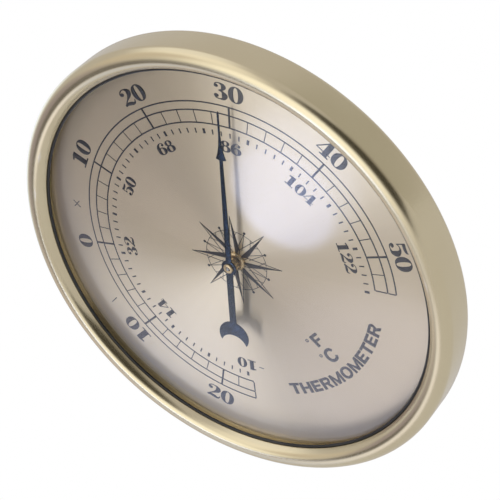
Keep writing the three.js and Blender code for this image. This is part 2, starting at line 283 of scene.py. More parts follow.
class Nodes:
    """Short calls for building one material's or the world's node tree."""

    def __init__(self, tree):
        self.tree = tree

    def new(self, kind, settings=None, **inputs):
        node = self.tree.nodes.new(kind)
        for name, value in (settings or {}).items():
            setattr(node, name, value)
        for name, value in inputs.items():
            self.put(node, name.replace("_", " "), value)
        return node

    def put(self, node, socket, value):
        target = node.inputs[socket]
        if isinstance(value, bpy.types.NodeSocket):
            self.tree.links.new(value, target)
        else:
            target.default_value = value

    def operate(self, kind, operation, values):
        node = self.new(kind, {"operation": operation})
        for i, value in enumerate(values):
            self.put(node, i, value)
        return node.outputs

    def math(self, operation, *values):
        return self.operate("ShaderNodeMath", operation, values)[0]

    def scaled(self, value, factor, base):
        return self.math("MULTIPLY_ADD", value, factor, base)

    def vector(self, operation, *values):
        outputs = self.operate("ShaderNodeVectorMath", operation, values)
        return outputs["Value" if operation in ("LENGTH", "DOT_PRODUCT") else "Vector"]

    def noise(self, coords, scale, detail=3.0, roughness=0.5):
        look = {"Scale": scale, "Detail": detail, "Roughness": roughness}
        return self.new("ShaderNodeTexNoise", Vector=coords, **look).outputs["Fac"]

    def remap(self, value, low, high, to_low, to_high, kind="LINEAR"):
        node = self.new("ShaderNodeMapRange", {"interpolation_type": kind})
        for i, given in enumerate((value, low, high, to_low, to_high)):
            self.put(node, i, given)
        return node.outputs[0]

    def mix(self, factor, first, second):
        """Blends two colours, each a node's output or (red, green, blue)."""
        node = self.new("ShaderNodeMix", {"data_type": "RGBA"})
        self.put(node, 0, factor)
        for socket, colour in ((6, first), (7, second)):
            self.put(node, socket, (*colour, 1) if isinstance(colour, tuple) else colour)
        return node.outputs[2]

    def bump(self, height, strength, distance):
        made = self.new("ShaderNodeBump", Height=height, Strength=strength, Distance=distance)
        return made.outputs["Normal"]


def new_material(name, **shader):
    """A material with one Principled shader; returns it, its node helper and the shader node."""
    material = bpy.data.materials.new(name)
    material.use_nodes = True
    nodes = Nodes(material.node_tree)
    principled = material.node_tree.nodes["Principled BSDF"]
    for socket, value in shader.items():
        nodes.put(principled, socket.replace("_", " "), value)
    return material, nodes, principled


def position_mm(nodes):
    position = nodes.new("ShaderNodeTexCoord").outputs["Object"]
    return nodes.vector("MULTIPLY", position, (1 / MM, 1 / MM, 1 / MM))


def turned_coords(nodes):
    """Distance from the dial axis, place along it (both in mm) and direction round it."""
    split = nodes.new("ShaderNodeSeparateXYZ", Vector=position_mm(nodes))
    flat = nodes.new("ShaderNodeCombineXYZ", X=split.outputs["X"], Z=split.outputs["Z"]).outputs[0]
    return nodes.vector("LENGTH", flat), split.outputs["Y"], nodes.vector("NORMALIZE", flat)


def grooves(nodes, pitch, drift):
    """Fine lines round the axis, as a lathe or a spinning brush leaves them."""
    radius, along, around = turned_coords(nodes)
    across, up = (nodes.math("DIVIDE", value, pitch) for value in (radius, along))
    lines = nodes.new("ShaderNodeCombineXYZ", X=across, Y=up).outputs[0]
    wander = nodes.vector("MULTIPLY", around, (drift, drift, drift))
    return nodes.noise(nodes.vector("ADD", lines, wander), 1.0, 2.0, 0.6)


def around_axis_tangent(nodes):
    node = nodes.new("ShaderNodeTangent", {"direction_type": "RADIAL", "axis": "Y"})
    return node.outputs[0]


# ---- materials

def coat(nodes, shader, colour, roughness, height, strength, distance):
    """Gives a shader its colour, roughness and bump, whose distance is in metres."""
    nodes.put(shader, "Base Color", colour)
    nodes.put(shader, "Roughness", roughness)
    nodes.put(shader, "Normal", nodes.bump(height, strength, distance))


def gold_material():
    material, nodes, shader = new_material(
        "satin_gold", Metallic=1.0, Anisotropic=0.55, Anisotropic_Rotation=0.25)
    lines = grooves(nodes, 0.09, 2.5)
    cloud = nodes.noise(position_mm(nodes), 0.09, 4.0)
    satin = nodes.mix(cloud, (0.66, 0.565, 0.370), (0.74, 0.655, 0.445))
    wear = nodes.remap(nodes.new("ShaderNodeNewGeometry").outputs["Pointiness"], 0.53, 0.62, 0, 0.5)
    colour = nodes.mix(wear, satin, (0.85, 0.80, 0.68))
    roughness = nodes.scaled(cloud, 0.06, nodes.scaled(lines, 0.10, 0.145))
    coat(nodes, shader, colour, roughness, lines, 0.10, 0.00002)
    nodes.put(shader, "Tangent", around_axis_tangent(nodes))
    return material


def dial_material():
    material, nodes, shader = new_material(
        "spun_champagne", Metallic=1.0, Anisotropic=0.95, Anisotropic_Rotation=0.25)
    lines = grooves(nodes, 0.05, 3.0)
    _, _, around = turned_coords(nodes)
    # Radial streaks, lighter and darker round the axis, are painted into the colour. They are partly the
    # spun grain's own tone and partly painted sheen that stands in for the highlight streaks of spun metal.
    painted_sheen_rays = nodes.noise(around, 5.0, 5.0, 0.7)
    cloud = nodes.noise(position_mm(nodes), 0.06, 3.0)
    tone = nodes.mix(painted_sheen_rays, (0.74, 0.63, 0.445), (0.84, 0.725, 0.52))
    colour = nodes.mix(nodes.math("MULTIPLY", cloud, 0.3), tone, (0.79, 0.69, 0.54))
    coat(nodes, shader, colour, nodes.scaled(lines, 0.08, 0.30), lines, 0.06, 0.00001)
    nodes.put(shader, "Tangent", around_axis_tangent(nodes))
    return material


def ink_material():
    material, nodes, shader = new_material("dial_ink", Metallic=0.0, Specular_IOR_Level=0.45)
    blot = nodes.noise(position_mm(nodes), 6.0, 3.0)
    colour = nodes.mix(blot, (0.010, 0.012, 0.020), (0.022, 0.025, 0.040))
    coat(nodes, shader, colour, nodes.remap(blot, 0.3, 0.7, 0.34, 0.5), blot, 0.08, 0.000004)
    return material


def blued_material():
    material, nodes, shader = new_material("blued_steel", Metallic=1.0, Anisotropic=0.3)
    position = position_mm(nodes)
    heat = nodes.noise(position, 0.12, 2.0)
    grain = nodes.noise(nodes.vector("MULTIPLY", position, (3.0, 1.0, 40.0)), 0.5, 2.0)
    colour = nodes.mix(heat, (0.012, 0.023, 0.040), (0.024, 0.042, 0.072))
    coat(nodes, shader, colour, nodes.scaled(grain, 0.14, 0.2), grain, 0.06, 0.00001)
    return material


def metal_material(name, dark, light, roughness):
    """Brass, steel and bimetal: turned or rolled metal with fine lines and a little tarnish."""
    material, nodes, shader = new_material(name, Metallic=1.0, Anisotropic=0.3)
    lines = grooves(nodes, 0.12, 2.0)
    tarnish = nodes.noise(position_mm(nodes), 0.7, 4.0)
    worn = nodes.mix(tarnish, dark, light)
    coat(nodes, shader, worn, nodes.scaled(lines, 0.16, roughness), lines, 0.12, 0.00001)
    return material


def glass_material():
    material, nodes, shader = new_material(
        "clear_glass", Base_Color=(1, 1, 1, 1), Transmission_Weight=1.0, IOR=1.5)
    smear = nodes.noise(nodes.vector("MULTIPLY", position_mm(nodes), (1.0, 1.0, 2.5)), 0.05, 4.0)
    nodes.put(shader, "Roughness", nodes.remap(smear, 0.45, 0.8, 0.0, 0.02))
    path = nodes.new("ShaderNodeLightPath").outputs
    unbent = nodes.math("MAXIMUM", path["Is Shadow Ray"], path["Is Diffuse Ray"])
    clear = nodes.new("ShaderNodeBsdfTransparent").outputs[0]
    mixed = nodes.new("ShaderNodeMixShader")
    for socket, value in enumerate((unbent, shader.outputs[0], clear)):
        nodes.put(mixed, socket, value)
    nodes.put(material.node_tree.nodes["Material Output"], "Surface", mixed.outputs[0])
    return material


def moulded_material(name, dark, light, roughness, grain_scale, depth):
    """Rubber and black plastic: a fine moulded grain with patches of dust."""
    material, nodes, shader = new_material(name, Metallic=0.0, Specular_IOR_Level=0.4)
    position = position_mm(nodes)
    grain = nodes.noise(position, grain_scale, 3.0, 0.65)
    dust = nodes.remap(nodes.noise(position, 0.15, 5.0), 0.45, 0.8, 0, 1)
    dusty = nodes.mix(dust, dark, light)
    coat(nodes, shader, dusty, nodes.scaled(grain, 0.2, roughness), grain, 0.25, depth)
    return material


MATERIALS = {
    "bezel_gold": gold_material(),
    "glass": glass_material(),
    "black_rubber": moulded_material(
        "black_rubber", (0.020, 0.020, 0.021), (0.05, 0.05, 0.05), 0.22, 9.0, 0.00002),
    "dial_metal": dial_material(),
    "brass": metal_material("brass", (0.56, 0.42, 0.22), (0.74, 0.59, 0.36), 0.2),
    "blued_steel": blued_material(),
    "steel": metal_material("steel", (0.42, 0.42, 0.43), (0.58, 0.58, 0.59), 0.22),
    "bimetal": metal_material("bimetal", (0.36, 0.30, 0.22), (0.52, 0.46, 0.36), 0.28),
    "can_black": moulded_material(
        "can_black", (0.014, 0.014, 0.016), (0.03, 0.03, 0.033), 0.38, 4.0, 0.00004),
}
INK = ink_material()


def stand_for(piece, node):
    """Gives a piece the body, slot and material of the CAD node that it replaces."""
    piece.data.materials.clear()
    piece.data.materials.append(MATERIALS[SLOT_OF[node]])
    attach(piece, BODY_OF[node])
    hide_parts(node)


# ---- case

def make_bezel():
    # The front corner is broader than it is deep.
    corner_width, corner_depth = 1.9, 1.4
    handle = 0.448                   # where the handles of a quarter ellipse end, from its corner
    rear_fillet = 1.1
    underside, slope_end = 5.15, 5.46
    crest = BEZEL_RADIUS - corner_width
    small = 0.04
    corner = bezier(
        (BEZEL_RADIUS, LIP_CREST - corner_depth), (BEZEL_RADIUS, LIP_CREST - corner_depth * handle),
        (BEZEL_RADIUS - corner_width * handle, LIP_CREST), (crest, LIP_CREST), 14)
    slope = bezier(
        (crest, LIP_CREST), (33.7, LIP_CREST), (33.0, LIP_CREST - 0.22), (LIP_INNER + small, slope_end), 14)
    outline = [
        (BORE, SLIP), (BORE + SLIP, 0),
        *arc((BEZEL_RADIUS - rear_fillet, rear_fillet), rear_fillet, -90, 0, 6),
        *corner,
        *slope[1:],
        (LIP_INNER, slope_end - 2 * small), (LIP_INNER, underside + small), (LIP_INNER + small, underside),
        (BORE, underside),
    ]
    # a shallow thread in the bore for the retaining ring
    thread_front, pitch, depth, turns = 3.6, 0.5, 0.12, 7
    for i in range(turns):
        front = thread_front - i * pitch
        outline += [(BORE, front), (BORE + depth, front - pitch * 0.3), (BORE + depth, front - pitch * 0.5)]
    stand_for(turned("bezel_ring", outline, RING_STEPS), "bezel")


def make_glass():
    rim = radius_of("glass")
    steps = 24
    radii = [rim * i / steps for i in range(steps + 1)]
    inside = [(r, dome_front(r) - GLASS_THICKNESS) for r in radii]
    outside = [(r, dome_front(r)) for r in reversed(radii)]
    bevel = 0.12
    inside[-1] = (rim - bevel, dome_front(rim - bevel) - GLASS_THICKNESS)
    outside[0] = (rim - bevel, dome_front(rim - bevel))
    edge = [(rim, inside[-1][1] + bevel), (rim, outside[0][1] - bevel)]
    stand_for(turned("glass_dome", inside + edge + outside, RING_STEPS), "glass")


def make_gasket():
    bead_width, bead_crest, shoulder = 0.4, 5.3, 5.18
    inner = LIP_INNER - bead_width
    outer = BORE - 3 * SLIP
    under_lip = 5.1
    beside_lip = LIP_INNER - 0.03
    outline = [
        (inner, dome_front(inner) + JOINT), (outer, dome_front(outer) + JOINT),
        (outer, under_lip), (beside_lip, under_lip),
        (beside_lip, under_lip + 0.1), (inner + bead_width / 2, bead_crest), (inner, shoulder),
    ]
    stand_for(turned("glass_seal", soften(outline, 0.15), RING_STEPS), "glass_gasket")


def make_spacer():
    inner, outer = 33.3, radius_of("spacer_ring")
    chamfer = 0.12

    def seat(radius):
        return dome_front(radius) - GLASS_THICKNESS - SLIP

    foot = DIAL_FRONT + JOINT
    outline = [
        (inner + chamfer, foot), (outer, foot), (outer, seat(outer)), (inner + 0.1, seat(inner)),
        (inner, seat(inner) - chamfer), (inner, foot + 0.14),
    ]
    stand_for(turned("dial_surround", soften(outline, 0.04), RING_STEPS), "spacer_ring")


def vent_loop(angle):
    """Outline of one radial air vent, its far end at the given clockwise angle."""
    half_width, near, far = 1.1, 11.0, 20.0
    loop = arc((0, far), half_width, 0, 180, 10) + arc((0, near), half_width, 180, 360, 10)
    cos, sin = math.cos(angle), math.sin(angle)
    return [(x * cos + z * sin, z * cos - x * sin) for x, z in loop]


def make_can():
    radius = CAN_RADIUS
    back, flange_front = ends_of("rear_can")
    wall = 0.7
    corner = 1.4
    flange_back = flange_front - 0.6
    flange = radius_of("rear_can")
    step = 0.25                      # depth of the pressed rings in the back
    hole = 1.8
    outline = [
        (0, back + step), (5.2, back + step), (5.6, back), (22.6, back), (23.0, back + step),
        (26.2, back + step), (26.6, back),
        *arc((radius - corner, back + corner), corner, -90, 0, 8),
        (radius, flange_back - 0.3), (radius + 0.3, flange_back),
        (flange - 0.1, flange_back), (flange, flange_back + 0.1), (flange, flange_front),
        (radius - wall, flange_front),
        *arc((radius - corner, back + corner), corner - wall, 0, -90, 6),
        (23.0, back + wall + step), (0, back + wall + step),
    ]
    can = turned("vented_can", outline, RING_STEPS)
    vents = 8
    cutters = [turned("adjust_hole", box_loop(0, back - 1, hole, back + 2))]
    for i in range(vents):
        angle = 2 * math.pi * (i + 0.5) / vents
        cutters.append(flat_part(f"vent_{i}", [vent_loop(angle)], back - 1, back + 2, edge=0.01))
    carve(can, cutters)
    bevel = can.modifiers.new("soft_edges", "BEVEL")
    bevel.width = 0.08 * MM
    bevel.segments = 2
    bevel.limit_method = "ANGLE"
    bevel.angle_limit = math.radians(50)
    stand_for(can, "rear_can")


def make_can_marks():
    """Raised plus and minus signs beside the adjusting hole."""
    back = back_of("rear_can") + 0.25
    reach, thick, distance = 0.9, 0.14, 3.6
    minus = box_loop(-reach, -thick, reach, thick)
    plus = []
    arm = [(thick, thick), (thick, reach), (-thick, reach)]
    for _ in range(4):
        plus += arm
        arm = [(-v, u) for u, v in arm]
    for name, loop, x in (("can_mark_minus", minus, -distance), ("can_mark_plus", plus, distance)):
        placed = [(x + u, v) for u, v in loop]
        mark = flat_part(name, [placed], back - 0.15, back + 0.05, edge=0.03)
        mark.data.materials.append(MATERIALS["can_black"])
        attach(mark, "root")


def make_retaining_ring():
    inner = CAN_RADIUS + 0.3
    outer = radius_of("retaining_ring")
    notch_depth, half_angle, notches = 1.2, 2.9, 4
    hole = []
    for i in range(notches):
        centre, following = 45 + 90 * i, 135 + 90 * i
        hole += arc((0, 0), inner + notch_depth, centre - half_angle, centre + half_angle, 6)
        hole += arc((0, 0), inner, centre + half_angle, following - half_angle, 44)
    loops = [circle(0, 0, outer, RING_STEPS), hole]
    ring = flat_part("spanner_ring", loops, 0, front_of("retaining_ring"), edge=0.12)
    stand_for(ring, "retaining_ring")


def make_friction_ring():
    """Rubber band with rounded ribs that grip the wall of the panel's hole."""
    inner = CAN_RADIUS + 2 * SLIP
    root, crest = inner + 0.35, radius_of("friction_ring")
    ribs, pitch, back = 3, 0.9, back_of("friction_ring")
    rib_steps = 8
    outline = [(inner, back)]
    for i in range(ribs):
        start = back + i * pitch
        outline.append((root, start + JOINT))
        for k in range(1, rib_steps):
            swell = math.sin(math.pi * k / rib_steps) ** 0.7
            outline.append((root + (crest - root) * swell, start + pitch * (0.1 + 0.1 * k)))
    outline += [(root, back + ribs * pitch), (inner, back + ribs * pitch)]
    stand_for(turned("rubber_band", outline, RING_STEPS), "friction_ring")


# ---- dial

def make_dial():
    hole, rim = 1.25, radius_of("dial_plate")
    outline = box_loop(hole, DIAL_BACK, rim, DIAL_FRONT)
    stand_for(turned("dial_disc", soften(outline, 0.06), RING_STEPS), "dial_plate")


def make_dial_bush():
    back, front = ends_of("dial_bush")
    bore, barrel, flange, chamfer = 0.36, 1.2, 1.5, 0.2
    under_flange = DIAL_FRONT + JOINT
    oil_sink = 0.12                  # a shallow dish round the bore
    outline = [
        (bore, back), (barrel, back), (barrel, under_flange), (flange, under_flange),
        (flange, front - chamfer), (flange - chamfer, front), (bore + 0.26, front),
        (bore + 0.14, front - oil_sink), (bore, front - oil_sink),
    ]
    stand_for(turned("dial_centre_bush", soften(outline, 0.06)), "dial_bush")


class Ink:
    """Flat printed shapes gathered into one mesh that lies just above the dial."""

    THICKNESS = 0.014
    ABOVE_DIAL = 0.004
    LAYER = 0.0006       # overlapping shapes lie at different heights
    LAYERS = 8
    MERGE_INK_M = 1e-8

    def __init__(self, name):
        self.name = name
        self.points = []
        self.faces = []
        self.layer = 0

    def face(self, corners):
        following = corners[1:] + corners[:1]
        area = sum(a[0] * b[1] - b[0] * a[1] for a, b in zip(corners, following))
        if abs(area) < 1e-9:
            return
        ordered = corners if area > 0 else corners[::-1]
        first = len(self.points)
        height = DIAL_FRONT + self.ABOVE_DIAL + self.THICKNESS + self.LAYER * (self.layer % self.LAYERS)
        self.points += [(x * MM, -height * MM, z * MM) for x, z in ordered]
        self.faces.append(tuple(range(first, first + len(ordered))))

    def strip(self, one_side, other_side, closed=False):
        """A band of quads between two rows of points."""
        count = len(one_side)
        for i in range(count if closed else count - 1):
            k = (i + 1) % count
            self.face([one_side[i], one_side[k], other_side[k], other_side[i]])
        self.layer += 1

    def shape(self, corners):
        self.face(corners)
        self.layer += 1

    def make(self):
        bm = bmesh.new()
        verts = [bm.verts.new(p) for p in self.points]
        for face in self.faces:
            bm.faces.new([verts[i] for i in face])
        bmesh.ops.remove_doubles(bm, verts=bm.verts, dist=self.MERGE_INK_M)
        piece = new_object(self.name, to_mesh(bm, self.name))
        solid = piece.modifiers.new("ink_thickness", "SOLIDIFY")
        solid.thickness = self.THICKNESS * MM
        solid.offset = -1
        piece.data.materials.append(INK)
        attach(piece, "root")


def on_dial(radius, degrees):
    """(x, z) of a place on the dial, from its radius in scale units and its clockwise angle."""
    angle = math.radians(degrees)
    return radius * UNIT * math.sin(angle), radius * UNIT * math.cos(angle)


def ring_line(ink, radius, width, start, end):
    """An arc round the dial between two clockwise angles, in steps of about a degree."""
    steps = max(2, round(abs(end - start)))
    angles = [start + (end - start) * i / steps for i in range(steps + 1)]
    outer = [on_dial(radius + width / 2, a) for a in angles]
    inner = [on_dial(radius - width / 2, a) for a in angles]
    ink.strip(outer, inner)


def line_through(ink, points, width):
    """A line through points of the dial, drawn as one box for each stretch."""
    for (x0, z0), (x1, z1) in zip(points, points[1:]):
        along = Vector((x1 - x0, z1 - z0)).normalized() * width / 2
        ink.strip([(x0 - along.y, z0 + along.x), (x1 - along.y, z1 + along.x)],
                  [(x0 + along.y, z0 - along.x), (x1 + along.y, z1 - along.x)])


def tick(ink, inner, outer, width, degrees):
    line_through(ink, [on_dial(inner, degrees), on_dial(outer, degrees)], width * UNIT)


DEGREES_PER_C = 24 / 7
MIDDLE_C = 15                    # straight up


def scale_angle(celsius):
    return (celsius - MIDDLE_C) * DEGREES_PER_C


def celsius_of(fahrenheit):
    return (fahrenheit - 32) / 1.8


# Sizes of the print are in scale units: radii of the scale's outermost ring.
OUTER_RING, MIDDLE_RING, INNER_RING = 1.0, 0.949, 0.8724
RING_WIDTH = 0.0080
LONG_TICK, END_TICK, SHORT_TICK = 0.0120, 0.0075, 0.0050     # their widths
COLDEST, WARMEST = -24, 54


def print_celsius_scale():
    ink = Ink("celsius_scale")
    start, end = scale_angle(COLDEST), scale_angle(WARMEST)
    for radius in (OUTER_RING, MIDDLE_RING, INNER_RING):
        ring_line(ink, radius, RING_WIDTH, start, end)
    half = RING_WIDTH / 2
    for celsius in range(COLDEST, WARMEST + 1, 2):
        degrees = scale_angle(celsius)
        at_end = celsius in (COLDEST, WARMEST)
        width = LONG_TICK if celsius % 10 == 0 else END_TICK if at_end else SHORT_TICK
        tick(ink, INNER_RING + half, MIDDLE_RING - half, width, degrees)
        if at_end or celsius % 10 == 0:
            tick(ink, MIDDLE_RING + half, OUTER_RING - half, width, degrees)
    ink.make()


def print_fahrenheit_scale():
    ink = Ink("fahrenheit_scale")
    near, far, bold, fine = 0.808, 0.838, 0.0150, 0.0075
    for fahrenheit in range(-10, 131, 2):
        width = bold if fahrenheit % 10 == 0 else fine
        tick(ink, near, far, width, scale_angle(celsius_of(fahrenheit)))
    ink.make()


DIGIT_STRETCH = 1.36

# Glyphs are drawn in a box one unit high. A brush is a pen path of (across, up, half width),
# a ring is (across, up, half width, half height) and then its hole's half width and half height.


def bar(left, low, right, high):
    return ("shape", box_loop(left, low, right, high))


def ball(across, up, size=0.105):
    return ("shape", circle(across, up, size, 20))


def brush(*path):
    return ("brush", path)


# shared by the 3 and the 5
BOWL_END = [(0.14, 0.085, 0.085), (-0.03, 0.03, 0.03), (-0.18, 0.055, 0.03), (-0.265, 0.17, 0.02)]
DIGITS = {
    "0": [("ring", 0, 0.5, 0.335, 0.5, 0.105, 0.44)],
    "1": [
        ("shape", [(-0.135, 0.08), (0.135, 0.08), (0.135, 1.0), (-0.06, 1.0), (-0.28, 0.90),
                   (-0.28, 0.81), (-0.135, 0.83)]),
        bar(-0.28, 0, 0.28, 0.08),
    ],
    "2": [
        brush((-0.27, 0.70, 0.02), (-0.265, 0.83, 0.028), (-0.13, 0.96, 0.03), (0.03, 0.97, 0.035),
              (0.165, 0.88, 0.09), (0.20, 0.73, 0.125), (0.13, 0.55, 0.095), (-0.05, 0.36, 0.04),
              (-0.23, 0.17, 0.026), (-0.30, 0.04, 0.026)),
        ball(-0.185, 0.72),
        brush((-0.31, 0.06, 0.055), (-0.16, 0.13, 0.085), (0.02, 0.105, 0.10), (0.17, 0.07, 0.08),
              (0.27, 0.13, 0.04), (0.31, 0.27, 0.015)),
    ],
    "3": [
        brush((-0.255, 0.78, 0.02), (-0.20, 0.92, 0.028), (-0.05, 0.975, 0.03), (0.11, 0.90, 0.085),
              (0.155, 0.76, 0.105), (0.08, 0.60, 0.06), (-0.07, 0.535, 0.025)),
        ball(-0.18, 0.78, 0.095),
        brush((-0.07, 0.53, 0.025), (0.09, 0.48, 0.055), (0.195, 0.29, 0.13), *BOWL_END),
        ball(-0.18, 0.20),
    ],
    "4": [
        bar(-0.01, 0.08, 0.23, 1.0),
        brush((0.03, 0.98, 0.03), (-0.14, 0.64, 0.028), (-0.33, 0.27, 0.026)),
        bar(-0.35, 0.225, 0.33, 0.28),
        bar(-0.10, 0, 0.32, 0.08),
    ],
    "5": [
        brush((-0.19, 0.90, 0.095), (0.0, 0.885, 0.09), (0.15, 0.91, 0.075), (0.25, 1.0, 0.012)),
        ("shape", [(-0.235, 0.47), (-0.19, 0.47), (-0.17, 0.99), (-0.225, 0.99)]),
        brush((-0.215, 0.50, 0.02), (-0.10, 0.60, 0.025), (0.07, 0.59, 0.06), (0.185, 0.45, 0.11),
              (0.205, 0.30, 0.13), *BOWL_END),
        ball(-0.175, 0.20),
    ],
    "6": [
        brush((0.265, 0.80, 0.02), (0.21, 0.92, 0.028), (0.07, 0.975, 0.03), (-0.10, 0.88, 0.07),
              (-0.19, 0.70, 0.105), (-0.22, 0.50, 0.115), (-0.22, 0.33, 0.115)),
        ("ring", 0, 0.31, 0.335, 0.315, 0.105, 0.255),
        ball(0.19, 0.79, 0.09),
    ],
    "8": [
        ("ring", 0, 0.765, 0.265, 0.235, 0.085, 0.175),
        ("ring", 0, 0.285, 0.335, 0.29, 0.115, 0.215),
    ],
    "-": [bar(-0.16, 0.42, 0.16, 0.49)],
}


def letter_glyphs():
    """Wide bold capitals: name to (width, strokes)."""
    stem, beam = 0.30, 0.225
    h, e, r, m, f = 0.51, 0.43, 0.50, 0.60, 0.40     # half widths of H, E, R, M and F
    m_stem, f_stem = 0.24, 0.28
    half_bowl = [(0.06, 1 - beam / 2, beam / 2), (0.24, 0.985 - beam / 2, beam / 2), (0.345, 0.735, 0.125),
                 (0.24, 0.49, beam / 2), (0.06, 0.47, beam / 2)]
    c_path = [(0.40, 0.72, 0.105), (0.27, 0.88, 0.12), (0.02, 0.945, 0.115), (-0.26, 0.83, 0.13),
              (-0.38, 0.50, 0.135), (-0.26, 0.17, 0.13), (0.02, 0.055, 0.115), (0.28, 0.12, 0.12),
              (0.42, 0.30, 0.105)]
    return {
        "T": (0.92, [bar(-0.46, 1 - beam, 0.46, 1), bar(-stem / 2, 0, stem / 2, 1 - beam)]),
        "H": (1.02, [
            bar(-h, 0, -h + stem, 1), bar(h - stem, 0, h, 1), bar(-h + stem, 0.40, h - stem, 0.60)]),
        "E": (0.88, [
            bar(-e, 0, -e + stem, 1), bar(-e + stem, 0, e, beam), bar(-e + stem, 0.41, e - 0.06, 0.59),
            bar(-e + stem, 1 - beam, e, 1)]),
        "R": (1.04, [
            bar(-r, 0, -r + stem, 1), bar(-r + stem, 1 - beam, 0.07, 1), bar(-r + stem, 0.37, 0.07, 0.57),
            brush(*half_bowl), ("shape", [(-0.02, 0.38), (0.26, 0.42), (0.52, 0), (0.21, 0)])]),
        "M": (1.20, [
            bar(-m, 0, -m + m_stem, 1), bar(m - m_stem, 0, m, 1),
            ("shape", [(-m + m_stem, 1), (-m + m_stem, 0.62), (-0.12, 0), (0.12, 0), (m - m_stem, 0.62),
                       (m - m_stem, 1), (0, 0.36)])]),
        "O": (1.10, [("ring", 0, 0.5, 0.55, 0.53, 0.27, 0.31)]),
        "F": (0.80, [
            bar(-f, 0, -f + f_stem, 1), bar(-f + f_stem, 0.38, f - 0.1, 0.57),
            bar(-f + f_stem, 1 - beam, f, 1)]),
        "C": (1.00, [brush(*c_path)]),
    }


def smooth_path(path, steps):
    """Catmull-Rom through the given points; every value of a point is smoothed."""
    result = []
    last = len(path) - 1
    for i in range(last):
        p0, p1, p2, p3 = (path[max(0, min(last, i + k))] for k in (-1, 0, 1, 2))
        for s in range(steps):
            t = s / steps
            result.append(tuple(
                0.5 * (2 * b + (c - a) * t + (2 * a - 5 * b + 4 * c - d) * t * t
                       + (3 * b - a - 3 * c + d) * t ** 3)
                for a, b, c, d in zip(p0, p1, p2, p3)))
    result.append(tuple(path[-1]))
    return result


def draw_brush(ink, place, path):
    centre = smooth_path(path, 6)
    left, right = [], []
    for i, (u, v, half) in enumerate(centre):
        before, after = centre[max(0, i - 1)], centre[min(len(centre) - 1, i + 1)]
        along = Vector((after[0] - before[0], after[1] - before[1])).normalized()
        left.append(place(u - along.y * half, v + along.x * half))
        right.append(place(u + along.y * half, v - along.x * half))
    ink.strip(left, right)


def rounded_loop(u, v, across, up, power):
    """A superellipse: power 2 is an ellipse, more is squarer."""
    steps = 40
    points = []
    for i in range(steps):
        angle = 2 * math.pi * i / steps
        cos, sin = math.cos(angle), math.sin(angle)
        points.append((u + across * math.copysign(abs(cos) ** (2 / power), cos),
                       v + up * math.copysign(abs(sin) ** (2 / power), sin)))
    return points


def draw_glyph(ink, place, strokes):
    for kind, *facts in strokes:
        if kind == "brush":
            draw_brush(ink, place, facts[0])
        elif kind == "shape":
            ink.shape([place(u, v) for u, v in facts[0]])
        elif kind == "ring":
            u, v, across, up, inner_across, inner_up = facts
            outer = [place(*p) for p in rounded_loop(u, v, across, up, 2.15)]
            inner = [place(*p) for p in rounded_loop(u, v, inner_across, inner_up, 2.4)]
            ink.strip(outer, inner, closed=True)


def upright_place(radius, degrees, height, across=0.0, outwards=True, stretch=1.0):
    """Maps glyph units to the dial; the glyph's middle is at the radius, its top outwards or inwards."""
    angle = math.radians(degrees)
    turn = 1 if outwards else -1

    def place(u, v):
        out = radius * UNIT + turn * (v - 0.5) * height
        side = turn * (u * height * stretch + across)
        return out * math.sin(angle) + side * math.cos(angle), out * math.cos(angle) - side * math.sin(angle)
    return place


def print_numbers(name, numbers, radius, height):
    """numbers: (text, clockwise angle, tops outwards); digits are centred and a minus sign hangs out."""
    ink = Ink(name)
    size = height * UNIT
    advance = 0.93 * size            # from one digit to the next
    for text, degrees, outwards in numbers:
        first = -(len(text) + text.count("-") - 1) / 2
        for i, character in enumerate(text):
            place = upright_place(radius, degrees, size, (first + i) * advance, outwards, DIGIT_STRETCH)
            draw_glyph(ink, place, DIGITS[character])
    ink.make()


def print_word(ink, word, radius, size, gap):
    """A word bent round the bottom of the dial, its letters' tops towards the centre."""
    middle_degrees = 179.25
    glyphs = letter_glyphs()
    widths = [glyphs[c][0] for c in word]
    total = sum(widths) + gap * (len(word) - 1)
    along = -total / 2
    for character, width in zip(word, widths):
        degrees = middle_degrees - math.degrees((along + width / 2) * size / (radius * UNIT))
        draw_glyph(ink, upright_place(radius, degrees, size, outwards=False), glyphs[character][1])
        along += width + gap


def print_lettering():
    ink = Ink("dial_lettering")
    print_word(ink, "THERMOMETER", 0.876, 0.076 * UNIT, 0.10)
    glyphs = letter_glyphs()
    for letter, x, z, height in (("F", 0.025, -0.6285, 0.081), ("C", 0.022, -0.7446, 0.083)):
        def place(u, v, x=x, z=z, height=height):
            return (x + u * height) * UNIT, (z + (v - 0.5) * height) * UNIT
        draw_glyph(ink, place, glyphs[letter][1])
        degree_x, degree_z = (x - 0.064) * UNIT, (z + 0.030) * UNIT
        outer, inner = (circle(degree_x, degree_z, size * UNIT, 24) for size in (0.011, 0.0055))
        ink.strip(outer, inner, closed=True)
    ink.make()


def print_signs():
    """Thin plus and minus signs outside the scale, upright on the dial."""
    ink = Ink("dial_signs")
    reach, half = 0.030 * UNIT, 0.0028 * UNIT
    for celsius, crossed in ((4, True), (-6.5, False)):
        x, z = on_dial(1.093, scale_angle(celsius))
        ink.shape(box_loop(x - reach, z - half, x + reach, z + half))
        if crossed:
            for sign in (-1, 1):
                near, far = sorted((z + sign * half, z + sign * reach))
                ink.shape(box_loop(x - half, near, x + half, far))
    ink.make()


